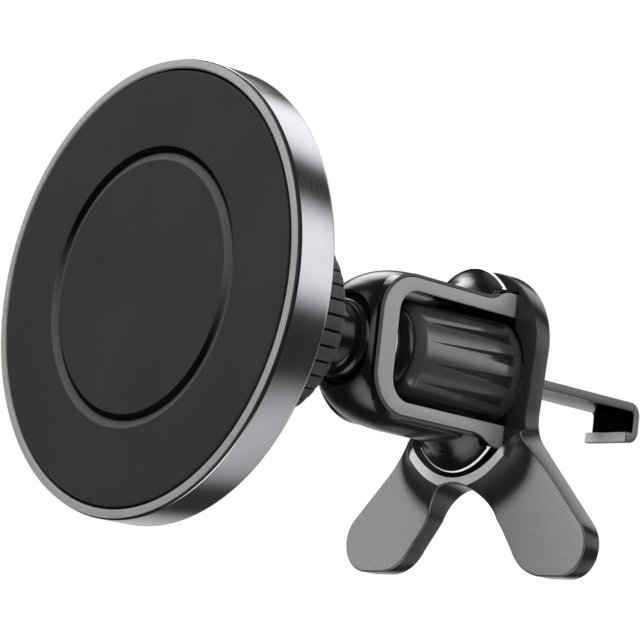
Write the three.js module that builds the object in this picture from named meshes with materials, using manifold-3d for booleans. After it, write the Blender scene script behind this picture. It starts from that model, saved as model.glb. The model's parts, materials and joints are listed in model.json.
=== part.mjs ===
// Car phone mount for an air vent: a round magnetic head on a ball joint, a slim housing with a
// thumb wheel, a two-legged stand and a flat steel hook that the wheel draws in.
//
// Millimetres. The common axis of head, ball, wheel and hook is Y: the head's face looks along -Y,
// the hook points along +Y, and Z is up. Lengths along Y are laid out from the bezel's front edge,
// and the finished group is moved so that the middle of the pad's face is the origin.
import * as THREE from 'three';
import { mergeVertices } from 'three/addons/utils/BufferGeometryUtils.js';
import Module from 'manifold-3d';

const wasm = await Module();
wasm.setup();

// ---- driving dimensions --------------------------------------------------------------------
const gap = 0.3; // assembly clearance between neighbouring pieces
const roundHead = 56; // segments of the large turned pieces
const roundSmall = 36; // segments of the small turned pieces

// head
const headRadius = 29;
const headDepth = 5.9;
const padRadius = 27.4;
const padProud = 0.2;
const padThickness = 1.0;
const padGroove = { inner: 16.0, outer: 17.7, depth: 0.6 };
const rearLip = 0.7;
const magnetCount = 16;
const magnetRing = { inner: 22.8, outer: 26.6, front: 1.3, back: 3.3 };
const carrier = { radius: 27.4, front: 1.1, back: 3.3, webInner: 21.6, webBack: 1.7 };
const yoke = { inner: 20.5, outer: 27.2, front: 3.6, back: 4.0 };
const backPlate = { front: 4.3, step: 4.9, back: headDepth, hole: 10.9 };
const coverScrew = { circle: 13.2, shank: 0.9, headRadius: 1.7, head: [1.9, 2.7], tip: 5.2 };

// ball joint and collar nut
const ballCentre = 16.5;
const ballRadius = 8.5;
const liner = { inner: 8.62, outer: 9.02 };
const socket = { sphere: 9.15, radius: 10.6, end: 20.2, flange: 15, flangeFront: 2.9, flangeBack: 4.0 };
const socketSlots = { count: 4, width: 1.2, start: 13.2 };
const nut = { radius: 12.5, front: 9.4, back: 23.6, bore: 10.8, ribs: 38, ribDepth: 0.55 };
const nutMouth = { start: 20.5, throat: 8.6, end: 10.6 };
const neckRadius = 4.2;

// housing
const flatX = 5.5; // half width across the flat sides
const bodyRadius = 10.8; // half height
const bodyFront = 33.9;
const bodyBack = 59.3;
const windowFront = 38.4;
const windowHalf = 7.5;
const wheelRoom = 8.4; // radius of the round cavity around the wheel
const flange = { start: 51.5, back: 57.0, radius: 14.2, halfWidth: 10, sideLimit: 8, fromZ: 10.8 };
const rearBoss = 12.2;
const sidePanel = {
  inner: flatX + 0.05, outer: 6.0, front: 35.6, rear: 60.9, half: 9.2, rearHalf: 10.7, corner: 5.4,
};
const windowCorner = 3.2;
const platformMargin = 0.45; // how far the raised land shows round the side panel
const studPlug = { radius: 4.6, back: 35.9, flange: 5.4, flangeFront: 33.3, flangeBack: 34.5 };
const bearing = { radius: 3.1, front: 36.7 };

// thumb wheel
const wheel = {
  front: 41.6, back: 60.6, frontRadius: 7.2, backRadius: 8.0, bore: 5.0, grooves: 16, firstGroove: 13.7,
};
const collar = { front: 39.0, back: 41.3, radius: 6.9, journal: 2.9, journalFront: 37.1, pocket: 39.7 };
const insert = { radius: 4.75, bore: 4.25, front: 44, back: 60.4 };
const washerThickness = 0.4;

// stand
const standFront = 59.6;
const standBack = 62.6;
const crown = { z: 3.7, radius: 10.5 };
const waist = { x: 9.7, z: -8.2 };
const toe = { x: 18.6, z: -23.5, radius: 4.3 };
const heel = { x: 15.5, z: -21.0, radius: 6.8 };
const arch = { z: -22.7, radius: 7.0 };
const skirt = { front: 57, inner: 14.7, frontRadius: 15.3, backRadius: 16.7, halfWidth: 9.4 };
// pocket in the stand's front for the wheel's rear end and the panels' rear ends
const pocket = { radius: 8.8, floor: 61.4, panelInner: 5.2, panelOuter: 6.4, panelHalf: 11.1 };
const standScrew = { z: 10.8, shank: 0.9, headRadius: 1.8, headDepth: 1.1, tip: 54.6 };
const footPad = { x: 16.7, z: -22.1, radius: 3.4, thickness: 1.0 };

// hook
const strip = { halfWidth: 3.9, thickness: 1.27, front: 48.5, back: 89.3 };
const hookDrop = 5.2; // lowest point of the hook below the axis
const lip = { front: 86.6, thickness: 1.5 };
const bendRadius = 1.8;
const slotRoom = 0.3;

// ---- materials -----------------------------------------------------------------------------
function material(color, roughness, metalness) {
  return new THREE.MeshStandardMaterial({ color, roughness, metalness });
}

const colours = {
  pad: [0x3a3a3c, 0.85, 0],
  aluminium: [0x5c5c62, 0.25, 1],
  blackGloss: [0x0b0b0c, 0.15, 0],
  blackMatte: [0x2a2a2b, 0.7, 0],
  greySatin: [0x7f7f80, 0.5, 0.2],
  gunmetal: [0x55555a, 0.25, 0.8],
  steel: [0x9a9a9e, 0.3, 1],
  brass: [0xb08d4a, 0.35, 1],
  magnet: [0x8c8c90, 0.3, 1],
  nylon: [0xd8d6cc, 0.6, 0],
  rubber: [0x161616, 0.9, 0],
};

// ---- geometry helpers ----------------------------------------------------------------------
// A position-only, welded copy of a geometry with its faces pointing outwards.
function weld(geometry) {
  const bare = new THREE.BufferGeometry();
  bare.setAttribute('position', geometry.getAttribute('position').clone());
  if (geometry.index) bare.setIndex(geometry.index.clone());
  const merged = mergeVertices(bare, 1e-4);
  const position = merged.getAttribute('position');
  const source = merged.index.array;
  const triangles = [];
  let volume = 0;
  const [a, b, c] = [new THREE.Vector3(), new THREE.Vector3(), new THREE.Vector3()];
  for (let i = 0; i < source.length; i += 3) {
    const [p, q, r] = [source[i], source[i + 1], source[i + 2]];
    if (p === q || q === r || r === p) continue;
    triangles.push([p, q, r]);
    a.fromBufferAttribute(position, p);
    b.fromBufferAttribute(position, q);
    c.fromBufferAttribute(position, r);
    volume += a.dot(b.cross(c));
  }
  const ordered = volume < 0 ? triangles.map(([p, q, r]) => [p, r, q]) : triangles;
  merged.setIndex(ordered.flat());
  return merged;
}

function solid(geometry) {
  const welded = weld(geometry);
  const mesh = new wasm.Mesh({
    numProp: 3,
    vertProperties: new Float32Array(welded.getAttribute('position').array),
    triVerts: new Uint32Array(welded.index.array),
  });
  mesh.merge();
  return new wasm.Manifold(mesh);
}

function geometryOf(body) {
  const mesh = body.getMesh();
  const geometry = new THREE.BufferGeometry();
  geometry.setAttribute('position', new THREE.BufferAttribute(mesh.vertProperties.slice(), 3));
  geometry.setIndex(new THREE.BufferAttribute(mesh.triVerts.slice(), 1));
  geometry.computeVertexNormals();
  return geometry;
}

// A solid of revolution about Y from [radius, y] pairs. It starts and ends on the axis, or the
// profile is closed by repeating its first point.
function turned(profile, segments = roundSmall) {
  const points = profile.map(([radius, y]) => new THREE.Vector2(radius, y));
  return solid(new THREE.LatheGeometry(points, segments));
}

function turnedRing(profile, segments = roundSmall) {
  return turned([...profile, profile[0]], segments);
}

function disc(radius, front, back, segments = roundSmall) {
  return turned([[0, front], [radius, front], [radius, back], [0, back]], segments);
}

function tube(inner, outer, front, back, segments = roundSmall) {
  return turnedRing([[inner, front], [outer, front], [outer, back], [inner, back]], segments);
}

// A plate drawn in X and Z that reaches from front to back along Y.
function plate(shape, front, back, curveSegments = 16) {
  const geometry = new THREE.ExtrudeGeometry(shape, { depth: back - front, bevelEnabled: false, curveSegments });
  geometry.rotateX(Math.PI / 2);
  geometry.translate(0, back, 0);
  return solid(geometry);
}

// A plate drawn in Y and Z that reaches from low to high along X.
function sidePlate(shape, low, high, curveSegments = 10) {
  const geometry = new THREE.ExtrudeGeometry(shape, { depth: high - low, bevelEnabled: false, curveSegments });
  const [x, y, z] = [new THREE.Vector3(1, 0, 0), new THREE.Vector3(0, 1, 0), new THREE.Vector3(0, 0, 1)];
  geometry.applyMatrix4(new THREE.Matrix4().makeBasis(y, z, x));
  geometry.translate(low, 0, 0);
  return solid(geometry);
}

function box(low, high) {
  const size = high.map((value, axis) => value - low[axis]);
  const geometry = new THREE.BoxGeometry(...size);
  geometry.translate(...low.map((value, axis) => value + size[axis] / 2));
  return solid(geometry);
}

function arcPoints(centreY, radius, from, to, steps) {
  return Array.from({ length: steps + 1 }, (_, i) => {
    const angle = THREE.MathUtils.degToRad(from + ((to - from) * i) / steps);
    return [radius * Math.sin(angle), centreY + radius * Math.cos(angle)];
  });
}

const root = new THREE.Group();

function addPiece(name, body, look, group = root) {
  const mesh = new THREE.Mesh(geometryOf(body), material(...look));
  mesh.name = name;
  group.add(mesh);
  return mesh;
}

function cutAll(body, tools) {
  return tools.reduce((rest, tool) => rest.subtract(tool), body);
}

function around(count, make) {
  return Array.from({ length: count }, (_, i) => make((i / count) * 360, i));
}

// ---- head ----------------------------------------------------------------------------------
function bezelRing() {
  const inner = padRadius + gap;
  return turnedRing([
    [inner, -0.1],
    [headRadius - 0.9, -0.1],
    [headRadius, 0.6],
    [headRadius, headDepth - 0.3],
    [headRadius - 0.3, headDepth],
    [headRadius - 2.6, headDepth],
    [headRadius - 2.6, headDepth - rearLip],
    [inner, headDepth - rearLip],
  ], roundHead);
}

function phonePad() {
  const floor = padGroove.depth - padProud;
  return turned([
    [0, -padProud],
    [padGroove.inner, -padProud],
    [padGroove.inner + 0.3, floor],
    [padGroove.outer - 0.3, floor],
    [padGroove.outer, -padProud],
    [padRadius - 0.2, -padProud],
    [padRadius, 0],
    [padRadius, padThickness - padProud],
    [0, padThickness - padProud],
  ], roundHead);
}

// One arc-shaped block of the magnet ring, grown by a margin for its pocket.
function magnetBlock(degrees, margin, front, back) {
  const half = THREE.MathUtils.degToRad(180 / magnetCount - 1.1) + margin / magnetRing.outer;
  const middle = THREE.MathUtils.degToRad(degrees);
  const shape = new THREE.Shape();
  shape.absarc(0, 0, magnetRing.outer + margin, middle - half, middle + half, false);
  shape.absarc(0, 0, magnetRing.inner - margin, middle + half, middle - half, true);
  return plate(shape, front, back, 4);
}

function magnetCarrier() {
  const body = turned([
    [0, carrier.front],
    [carrier.radius, carrier.front],
    [carrier.radius, carrier.back],
    [carrier.webInner, carrier.back],
    [carrier.webInner, carrier.webBack],
    [0, carrier.webBack],
  ], roundHead);
  const pockets = around(magnetCount, (angle) => magnetBlock(angle, 0.12, carrier.front + 0.15, carrier.back + 1));
  return cutAll(body, pockets);
}

function screwHoles(radius, front, back) {
  return around(4, (angle) => atCoverScrew(disc(radius, front, back, 12), angle));
}

function atCoverScrew(body, angle) {
  return body.translate([coverScrew.circle, 0, 0]).rotate([0, angle + 45, 0]);
}

function backCover() {
  const body = turnedRing([
    [backPlate.hole, backPlate.front],
    [padRadius, backPlate.front],
    [padRadius, backPlate.step],
    [headRadius - 2.6 - gap, backPlate.step],
    [headRadius - 2.6 - gap, backPlate.back],
    [backPlate.hole, backPlate.back],
  ], roundHead);
  return cutAll(body, screwHoles(coverScrew.shank + 0.2, backPlate.front - 1, coverScrew.tip + 0.3));
}

function screw(radius, headRadius, headFront, headBack, tip) {
  return turned([
    [0, headFront],
    [headRadius, headFront],
    [headRadius, headBack],
    [radius, headBack],
    [radius, tip - 0.5],
    [0, tip],
  ], 12);
}

function ballSocket() {
  const tipAngle = THREE.MathUtils.radToDeg(Math.acos((socket.end - ballCentre) / socket.sphere));
  const body = turned([
    [0, 5.9],
    [7, 5.9],
    [7, socket.flangeFront],
    [socket.flange, socket.flangeFront],
    [socket.flange, socket.flangeBack],
    [socket.radius, socket.flangeBack],
    [socket.radius, socket.end],
    ...arcPoints(ballCentre, socket.sphere, tipAngle, 180, 14),
  ]);
  const slots = around(socketSlots.count, (angle) => box(
    [-socketSlots.width / 2, socketSlots.start, 6],
    [socketSlots.width / 2, socket.end + 1, socket.radius + 2],
  ).rotate([0, angle, 0]));
  return cutAll(body, [...slots, ...screwHoles(coverScrew.shank + 0.2, 0, 5)]);
}

// Thin spherical liners between ball and socket: a cap at the front and a ring at the rear.
function frontLiner(edge, steps) {
  return turned([
    ...arcPoints(ballCentre, liner.inner, 180, edge, steps),
    ...arcPoints(ballCentre, liner.outer, edge, 180, steps),
  ]);
}

function rearLiner(from, to, steps) {
  return turnedRing([
    ...arcPoints(ballCentre, liner.inner, from, to, steps),
    ...arcPoints(ballCentre, liner.outer, to, from, steps),
  ]);
}

function collarNut() {
  const outline = new THREE.Shape();
  const pitch = (2 * Math.PI) / nut.ribs;
  for (let rib = 0; rib < nut.ribs; rib += 1) {
    const edges = [[0, 0], [0.08, 1], [0.16, 0], [0.92, 0]];
    edges.forEach(([share, depth]) => {
      const angle = (rib + share) * pitch;
      const radius = nut.radius - depth * nut.ribDepth;
      const point = [radius * Math.cos(angle), radius * Math.sin(angle)];
      if (rib === 0 && share === 0) outline.moveTo(...point);
      else outline.lineTo(...point);
    });
  }
  outline.closePath();
  const bore = turned([
    [0, nut.front - 1],
    [nut.bore, nut.front - 1],
    [nut.bore, nutMouth.start],
    [nutMouth.throat, nutMouth.start + 0.3],
    [nutMouth.throat, nutMouth.start + 0.8],
    [nutMouth.end, nut.back],
    [nutMouth.end, nut.back + 1],
    [0, nut.back + 1],
  ]);
  const envelope = turned([
    [0, nut.front],
    [nut.radius - 0.8, nut.front],
    [nut.radius + 0.1, nut.front + 0.9],
    [nut.radius + 0.1, nut.back - 0.8],
    [nut.radius - 0.6, nut.back],
    [0, nut.back],
  ]);
  return plate(outline, nut.front, nut.back).intersect(envelope).subtract(bore);
}

// ---- housing -------------------------------------------------------------------------------
function ballStud() {
  const neckAngle = THREE.MathUtils.radToDeg(Math.asin(neckRadius / ballRadius));
  return turned([
    ...arcPoints(ballCentre, ballRadius, 180, neckAngle, 16),
    [neckRadius, studPlug.flangeFront - 0.6],
    [studPlug.flange, studPlug.flangeFront],
    [studPlug.flange, studPlug.flangeBack],
    [studPlug.radius, studPlug.flangeBack],
    [studPlug.radius, studPlug.back],
    [0, studPlug.back],
  ]);
}

function housingProfile() {
  return [
    [0, bodyFront],
    [6.6, bodyFront],
    [7.5, 34.7],
    [8.9, 36.4],
    [9.8, 38],
    [bodyRadius - 0.4, 39.6],
    [bodyRadius, 42.5],
  ];
}

// Outline of the raised land under the side panels, in Y and Z.
function panelLand() {
  const { front, half, corner } = sidePanel;
  const start = front - platformMargin;
  const edge = half + platformMargin;
  const radius = corner + platformMargin;
  const shape = new THREE.Shape();
  shape.moveTo(flange.start + 1, edge);
  shape.lineTo(start + radius, edge);
  shape.absarc(start + radius, edge - radius, radius, Math.PI / 2, Math.PI, false);
  shape.absarc(start + radius, radius - edge, radius, Math.PI, Math.PI * 1.5, false);
  shape.lineTo(flange.start + 1, -edge);
  shape.closePath();
  return shape;
}

function slab(halfWidth) {
  return box([-halfWidth, bodyFront - 1, -20], [halfWidth, bodyBack + 1, 20]);
}

function housing() {
  const barrel = turned([...housingProfile(), [bodyRadius, flange.back], [rearBoss, flange.back],
    [rearBoss, bodyBack], [0, bodyBack]], 48).intersect(slab(flatX));
  // the rear flange is oval: as wide as flange.halfWidth before its sides are cut flat
  const flare = turned([
    [0, flange.start],
    [bodyRadius - 0.2, flange.start],
    [bodyRadius + 0.4, 53.2],
    [bodyRadius + 1.3, 54.9],
    [flange.radius - 0.7, 56.2],
    [flange.radius, 56.7],
    [flange.radius, flange.back],
    [0, flange.back],
  ], 48).scale([flange.halfWidth / flange.radius, 1, 1]).intersect(slab(flange.sideLimit));
  const sideRelief = [-1, 1].map((side) => box(
    [side > 0 ? flatX : -20, 40, -flange.fromZ],
    [side > 0 ? 20 : -flatX, 58, flange.fromZ],
  ));
  const land = sidePlate(panelLand(), -flatX, flatX);
  const window = new THREE.Shape();
  const reach = bodyBack + 2;
  window.moveTo(reach, -windowHalf);
  window.lineTo(reach, windowHalf);
  window.lineTo(windowFront + windowCorner, windowHalf);
  window.absarc(windowFront + windowCorner, windowHalf - windowCorner, windowCorner, Math.PI / 2, Math.PI, false);
  window.absarc(windowFront + windowCorner, windowCorner - windowHalf, windowCorner, Math.PI, Math.PI * 1.5, false);
  window.closePath();
  const screwBores = [-1, 1].map((side) => disc(standScrew.shank + 0.2, standScrew.tip - 0.4, bodyBack + 1, 12)
    .translate([0, 0, side * standScrew.z]));
  return cutAll(barrel.add(cutAll(flare, sideRelief)).add(land), [
    sidePlate(window, -20, 20),
    disc(wheelRoom, windowFront, bodyBack + 1),
    disc(studPlug.flange + 0.4, bodyFront - 1, studPlug.flangeBack + gap),
    disc(studPlug.radius + 0.15, bodyFront - 1, studPlug.back + gap),
    disc(bearing.radius, bearing.front, windowFront + 1, 24),
    ...screwBores,
  ]);
}

function sidePanelBody(side) {
  const { front, rear, half, rearHalf, corner } = sidePanel;
  const insideCorner = windowFront + windowCorner;
  const shape = new THREE.Shape();
  shape.moveTo(rear, windowHalf);
  shape.lineTo(rear, rearHalf);
  shape.lineTo(57.6, rearHalf);
  shape.quadraticCurveTo(55.4, half, 52.4, half);
  shape.lineTo(front + corner, half);
  shape.absarc(front + corner, half - corner, corner, Math.PI / 2, Math.PI, false);
  shape.absarc(front + corner, corner - half, corner, Math.PI, Math.PI * 1.5, false);
  shape.lineTo(52.4, -half);
  shape.quadraticCurveTo(55.4, -half, 57.6, -rearHalf);
  shape.lineTo(rear, -rearHalf);
  shape.lineTo(rear, -windowHalf);
  shape.lineTo(insideCorner, -windowHalf);
  shape.absarc(insideCorner, windowCorner - windowHalf, windowCorner, Math.PI * 1.5, Math.PI, true);
  shape.absarc(insideCorner, windowHalf - windowCorner, windowCorner, Math.PI, Math.PI / 2, true);
  shape.closePath();
  const { inner, outer } = sidePanel;
  return side > 0 ? sidePlate(shape, inner, outer, 6) : sidePlate(shape, -outer, -inner, 6);
}

// ---- thumb wheel ---------------------------------------------------------------------------
function thumbWheel() {
  const body = turnedRing([
    [wheel.bore, wheel.front],
    [wheel.frontRadius - 0.6, wheel.front],
    [wheel.frontRadius, wheel.front + 0.8],
    [wheel.backRadius - 0.1, wheel.back - 0.9],
    [wheel.backRadius, wheel.back - 0.5],
    [wheel.backRadius - 0.4, wheel.back],
    [wheel.bore, wheel.back],
  ], 42);
  const length = 14.4;
  const grooves = around(wheel.grooves, (turn) => {
    const angle = turn + wheel.firstGroove;
    const shape = new THREE.Shape();
    shape.moveTo(-0.8, 0);
    shape.lineTo(0.8, 0);
    shape.lineTo(0.05, -length);
    shape.lineTo(-0.05, -length);
    shape.closePath();
    const cutter = new THREE.ExtrudeGeometry(shape, { depth: 2, bevelEnabled: false });
    return solid(cutter).rotate([-3, 0, 0]).translate([0, wheel.back - 2.2, wheel.backRadius - 0.8])
      .rotate([0, angle, 0]);
  });
  return cutAll(body, grooves);
}

function wheelCollar() {
  const round = Array.from({ length: 7 }, (_, i) => {
    const angle = (Math.PI * i) / 6;
    const half = (collar.back - collar.front) / 2;
    return [collar.radius - half + half * Math.sin(angle), collar.front + half - half * Math.cos(angle)];
  });
  return turned([
    [0, collar.journalFront],
    [collar.journal, collar.journalFront],
    [collar.journal, collar.front],
    ...round,
    [insert.bore, collar.back],
    [insert.bore, collar.pocket],
    [0, collar.pocket],
  ]);
}

// ---- stand ---------------------------------------------------------------------------------
// The right half of the outline runs from the crown down the outside of the leg and back up the
// inside of the arch; the left half mirrors it.
function standShape() {
  const path = new THREE.Path();
  const reach = Math.hypot(toe.x - waist.x, toe.z - waist.z);
  const outerAngle = Math.atan2(toe.z - waist.z, toe.x - waist.x) + Math.asin(toe.radius / reach) + Math.PI / 2;
  path.absarc(0, crown.z, crown.radius, Math.PI / 2, -0.1, true);
  path.lineTo(waist.x, waist.z);
  path.absarc(toe.x, toe.z, toe.radius, outerAngle, -Math.PI / 2, true);
  path.absarc(heel.x, heel.z, heel.radius, -Math.PI / 2, -2.62, true);
  path.absarc(0, arch.z, arch.radius, 0.35, Math.PI / 2, false);
  const right = path.getPoints(10);
  const left = right.map((point) => new THREE.Vector2(-point.x, point.y)).reverse();
  return new THREE.Shape([...right, ...left.slice(1, -1)]);
}

function legStand() {
  const skirtRing = turnedRing([
    [skirt.inner, skirt.front],
    [skirt.frontRadius, skirt.front],
    [skirt.backRadius, standFront + 0.5],
    [skirt.inner, standFront + 0.5],
  ]).intersect(box([-skirt.halfWidth, 50, -20], [skirt.halfWidth, 62, -9]));
  const slot = box(
    [-strip.halfWidth - slotRoom, standFront - 1, -strip.thickness / 2 - slotRoom],
    [strip.halfWidth + slotRoom, standBack + 1, strip.thickness / 2 + slotRoom],
  );
  const screwBores = [-1, 1].flatMap((side) => [
    disc(standScrew.shank + 0.2, standFront - 1, standBack + 1, 12),
    disc(standScrew.headRadius + 0.2, standBack - standScrew.headDepth - 0.1, standBack + 1, 16),
  ].map((bore) => bore.translate([0, 0, side * standScrew.z])));
  const panelPockets = [-1, 1].map((side) => box(
    [side > 0 ? pocket.panelInner : -pocket.panelOuter, standFront - 1, -pocket.panelHalf],
    [side > 0 ? pocket.panelOuter : -pocket.panelInner, pocket.floor, pocket.panelHalf],
  ));
  const wheelPocket = disc(pocket.radius, standFront - 1, pocket.floor);
  return cutAll(
    plate(standShape(), standFront, standBack, 12).add(skirtRing),
    [slot, wheelPocket, ...panelPockets, ...screwBores],
  );
}

function standScrewBody() {
  const { shank, headRadius, headDepth, tip } = standScrew;
  return turned([
    [0, tip],
    [shank, tip + 0.5],
    [shank, standBack - headDepth],
    [headRadius, standBack - headDepth],
    [headRadius, standBack - 0.1],
    [0, standBack - 0.1],
  ], 12);
}

// ---- hook ----------------------------------------------------------------------------------
function ventHook() {
  const half = strip.thickness / 2;
  const inside = bendRadius - strip.thickness;
  const innerFace = strip.back - strip.thickness;
  const shape = new THREE.Shape();
  shape.moveTo(strip.front, -half);
  shape.lineTo(strip.front, half);
  shape.lineTo(strip.back - bendRadius, half);
  shape.absarc(strip.back - bendRadius, half - bendRadius, bendRadius, Math.PI / 2, 0, true);
  shape.lineTo(strip.back, bendRadius - hookDrop);
  shape.absarc(strip.back - bendRadius, bendRadius - hookDrop, bendRadius, 0, -Math.PI / 2, true);
  shape.lineTo(lip.front, -hookDrop);
  shape.lineTo(lip.front, lip.thickness - hookDrop);
  shape.lineTo(innerFace, lip.thickness - hookDrop);
  shape.lineTo(innerFace, -half - inside);
  shape.absarc(innerFace - inside, -half - inside, inside, 0, Math.PI / 2, false);
  shape.closePath();
  return sidePlate(shape, -strip.halfWidth, strip.halfWidth, 5);
}

// ---- assembly ------------------------------------------------------------------------------
const head = new THREE.Group();
const grip = new THREE.Group();
root.add(head, grip);

addPiece('bezel_ring', bezelRing(), colours.aluminium, head);
addPiece('phone_pad', phonePad(), colours.pad, head);
addPiece('magnet_carrier', magnetCarrier(), colours.blackMatte, head);
around(magnetCount, (angle, index) => {
  const name = `magnet_${String(index + 1).padStart(2, '0')}`;
  addPiece(name, magnetBlock(angle, 0, magnetRing.front, magnetRing.back), colours.magnet, head);
});
addPiece('steel_yoke', tube(yoke.inner, yoke.outer, yoke.front, yoke.back, roundHead), colours.steel, head);
addPiece('back_cover', backCover(), colours.blackMatte, head);
around(4, (angle, index) => {
  const body = screw(coverScrew.shank, coverScrew.headRadius, ...coverScrew.head, coverScrew.tip);
  addPiece(`cover_screw_${index + 1}`, atCoverScrew(body, angle), colours.steel, head);
});
addPiece('ball_socket', ballSocket(), colours.blackMatte, head);
addPiece('ball_liner_front', frontLiner(128, 6), colours.nylon, head);
addPiece('ball_liner_rear', rearLiner(64, 88, 4), colours.nylon, head);
addPiece('collar_nut', collarNut(), colours.blackMatte, head);

addPiece('ball_stud', ballStud(), colours.blackGloss, grip);
addPiece('housing', housing(), colours.blackGloss, grip);
addPiece('side_panel_right', sidePanelBody(1), colours.greySatin, grip);
addPiece('side_panel_left', sidePanelBody(-1), colours.greySatin, grip);
addPiece('thumb_wheel', thumbWheel(), colours.gunmetal, grip);
addPiece('wheel_collar', wheelCollar(), colours.blackGloss, grip);
addPiece('wheel_insert', tube(insert.bore, insert.radius, insert.front, insert.back), colours.brass, grip);
const washerFront = windowFront + 0.1;
addPiece('washer_front', tube(3.3, 5.6, washerFront, washerFront + washerThickness), colours.nylon, grip);
const washerRear = wheel.back + 0.2;
addPiece('washer_rear', tube(4.6, 7.2, washerRear, washerRear + washerThickness), colours.nylon, grip);
addPiece('leg_stand', legStand(), colours.gunmetal, grip);
[1, -1].forEach((side, index) => {
  const body = standScrewBody().translate([0, 0, side * standScrew.z]);
  addPiece(`stand_screw_${index + 1}`, body, colours.steel, grip);
});
[1, -1].forEach((side) => {
  const body = disc(footPad.radius, standBack + 0.05, standBack + footPad.thickness, 28)
    .translate([side * footPad.x, 0, footPad.z]);
  addPiece(side > 0 ? 'foot_pad_right' : 'foot_pad_left', body, colours.rubber, grip);
});
addPiece('vent_hook', ventHook(), colours.steel, grip);

root.position.y = padProud;

export default root;
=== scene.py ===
import json
import math

import bpy
import bmesh
from mathutils import Matrix, Vector
from mathutils.geometry import delaunay_2d_cdt


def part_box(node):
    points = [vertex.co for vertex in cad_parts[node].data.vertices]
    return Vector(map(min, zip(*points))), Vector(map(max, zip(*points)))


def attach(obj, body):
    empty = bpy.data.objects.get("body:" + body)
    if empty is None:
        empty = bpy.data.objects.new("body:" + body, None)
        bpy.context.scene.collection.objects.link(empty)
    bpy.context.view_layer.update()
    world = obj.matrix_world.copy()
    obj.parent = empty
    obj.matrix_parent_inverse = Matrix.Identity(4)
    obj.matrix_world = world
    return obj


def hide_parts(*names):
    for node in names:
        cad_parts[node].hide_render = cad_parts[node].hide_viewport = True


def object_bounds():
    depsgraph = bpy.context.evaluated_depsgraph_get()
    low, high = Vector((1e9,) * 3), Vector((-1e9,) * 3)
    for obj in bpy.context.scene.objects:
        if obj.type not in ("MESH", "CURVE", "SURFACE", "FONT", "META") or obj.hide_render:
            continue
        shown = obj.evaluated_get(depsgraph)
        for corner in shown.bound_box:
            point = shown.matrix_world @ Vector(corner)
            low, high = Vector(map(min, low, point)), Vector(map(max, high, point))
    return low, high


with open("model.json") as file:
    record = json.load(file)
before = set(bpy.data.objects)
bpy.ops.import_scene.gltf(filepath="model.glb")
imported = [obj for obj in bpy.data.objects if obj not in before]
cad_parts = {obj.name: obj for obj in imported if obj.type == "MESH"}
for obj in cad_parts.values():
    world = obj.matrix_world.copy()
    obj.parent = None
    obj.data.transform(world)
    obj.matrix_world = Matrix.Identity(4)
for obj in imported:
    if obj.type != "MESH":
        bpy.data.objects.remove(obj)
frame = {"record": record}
cad_low, cad_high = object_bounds()

MM = 0.001
EDGE_ANGLE = math.radians(32)  # creases sharper than this stay crisp
POLE = 1e-5  # a turned profile's point this near the axis is a single point
FINE_STEP = 0.5  # length of the pieces into which the finer profiles are cut
SCREW_HEIGHT = 10.8  # distance of the stand's screws from the axis
PANEL_CORNER = 5.4  # front corners of the right side panel
FAR_CORNER = 7.4  # the left panel has rounder front corners


# ---- small helpers ----
def node_box(name):
    """Lowest and highest corners of a CAD node, in millimetres."""
    low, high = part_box(name)
    return Vector(low) / MM, Vector(high) / MM


def lerp(a, b, t):
    return a + (b - a) * t


def smooth(t):
    t = min(1.0, max(0.0, t))
    return t * t * (3 - 2 * t)


def rounded(corners, steps=5, closed=False):
    """An outline from corners (a, b, cut): a corner with a cut becomes a smooth curve."""
    outline = []
    count = len(corners)
    for i, (a, b, cut) in enumerate(corners):
        here = Vector((a, b))
        is_end = not closed and i in (0, count - 1)
        if cut <= 0 or is_end:
            outline.append((a, b))
            continue
        before = Vector(corners[i - 1][:2]) - here
        after = Vector(corners[(i + 1) % count][:2]) - here
        start = here + before.normalized() * min(cut, before.length * 0.5)
        end = here + after.normalized() * min(cut, after.length * 0.5)
        for k in range(steps + 1):
            t = k / steps
            point = start * (1 - t) ** 2 + here * 2 * t * (1 - t) + end * t ** 2
            outline.append((point.x, point.y))
    return outline


def arc(centre, radius, start, end, steps):
    """Points on a circle from one angle to another, in degrees."""
    angles = [math.radians(lerp(start, end, k / steps)) for k in range(steps + 1)]
    return [(centre[0] + radius * math.cos(a), centre[1] + radius * math.sin(a)) for a in angles]


def make_object(name, points, faces):
    mesh = bpy.data.meshes.new(name)
    mesh.from_pydata([Vector(p) * MM for p in points], [], faces)
    obj = bpy.data.objects.new(name, mesh)
    bpy.context.scene.collection.objects.link(obj)
    tidy_mesh(obj)
    return obj


def tidy_mesh(obj):
    mesh = bmesh.new()
    mesh.from_mesh(obj.data)
    bmesh.ops.remove_doubles(mesh, verts=mesh.verts, dist=1e-6)
    bmesh.ops.recalc_face_normals(mesh, faces=mesh.faces)
    mesh.to_mesh(obj.data)
    mesh.free()


def apply_modifiers(obj):
    graph = bpy.context.evaluated_depsgraph_get()
    mesh = bpy.data.meshes.new_from_object(obj.evaluated_get(graph))
    obj.modifiers.clear()
    obj.data = mesh


def combine(obj, tools, operation):
    for tool in tools:
        modifier = obj.modifiers.new("cut", "BOOLEAN")
        modifier.operation = operation
        modifier.solver = "EXACT"
        modifier.object = tool
        apply_modifiers(obj)
        bpy.data.objects.remove(tool)
    return obj


def cut(obj, *tools):
    return combine(obj, tools, "DIFFERENCE")


def weld(obj, *tools):
    return combine(obj, tools, "UNION")


def bevel(obj, width, segments=3, angle=50):
    modifier = obj.modifiers.new("bevel", "BEVEL")
    modifier.width = width * MM
    modifier.segments = segments
    modifier.limit_method = "ANGLE"
    modifier.angle_limit = math.radians(angle)
    modifier.use_clamp_overlap = True
    apply_modifiers(obj)
    return obj


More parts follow.
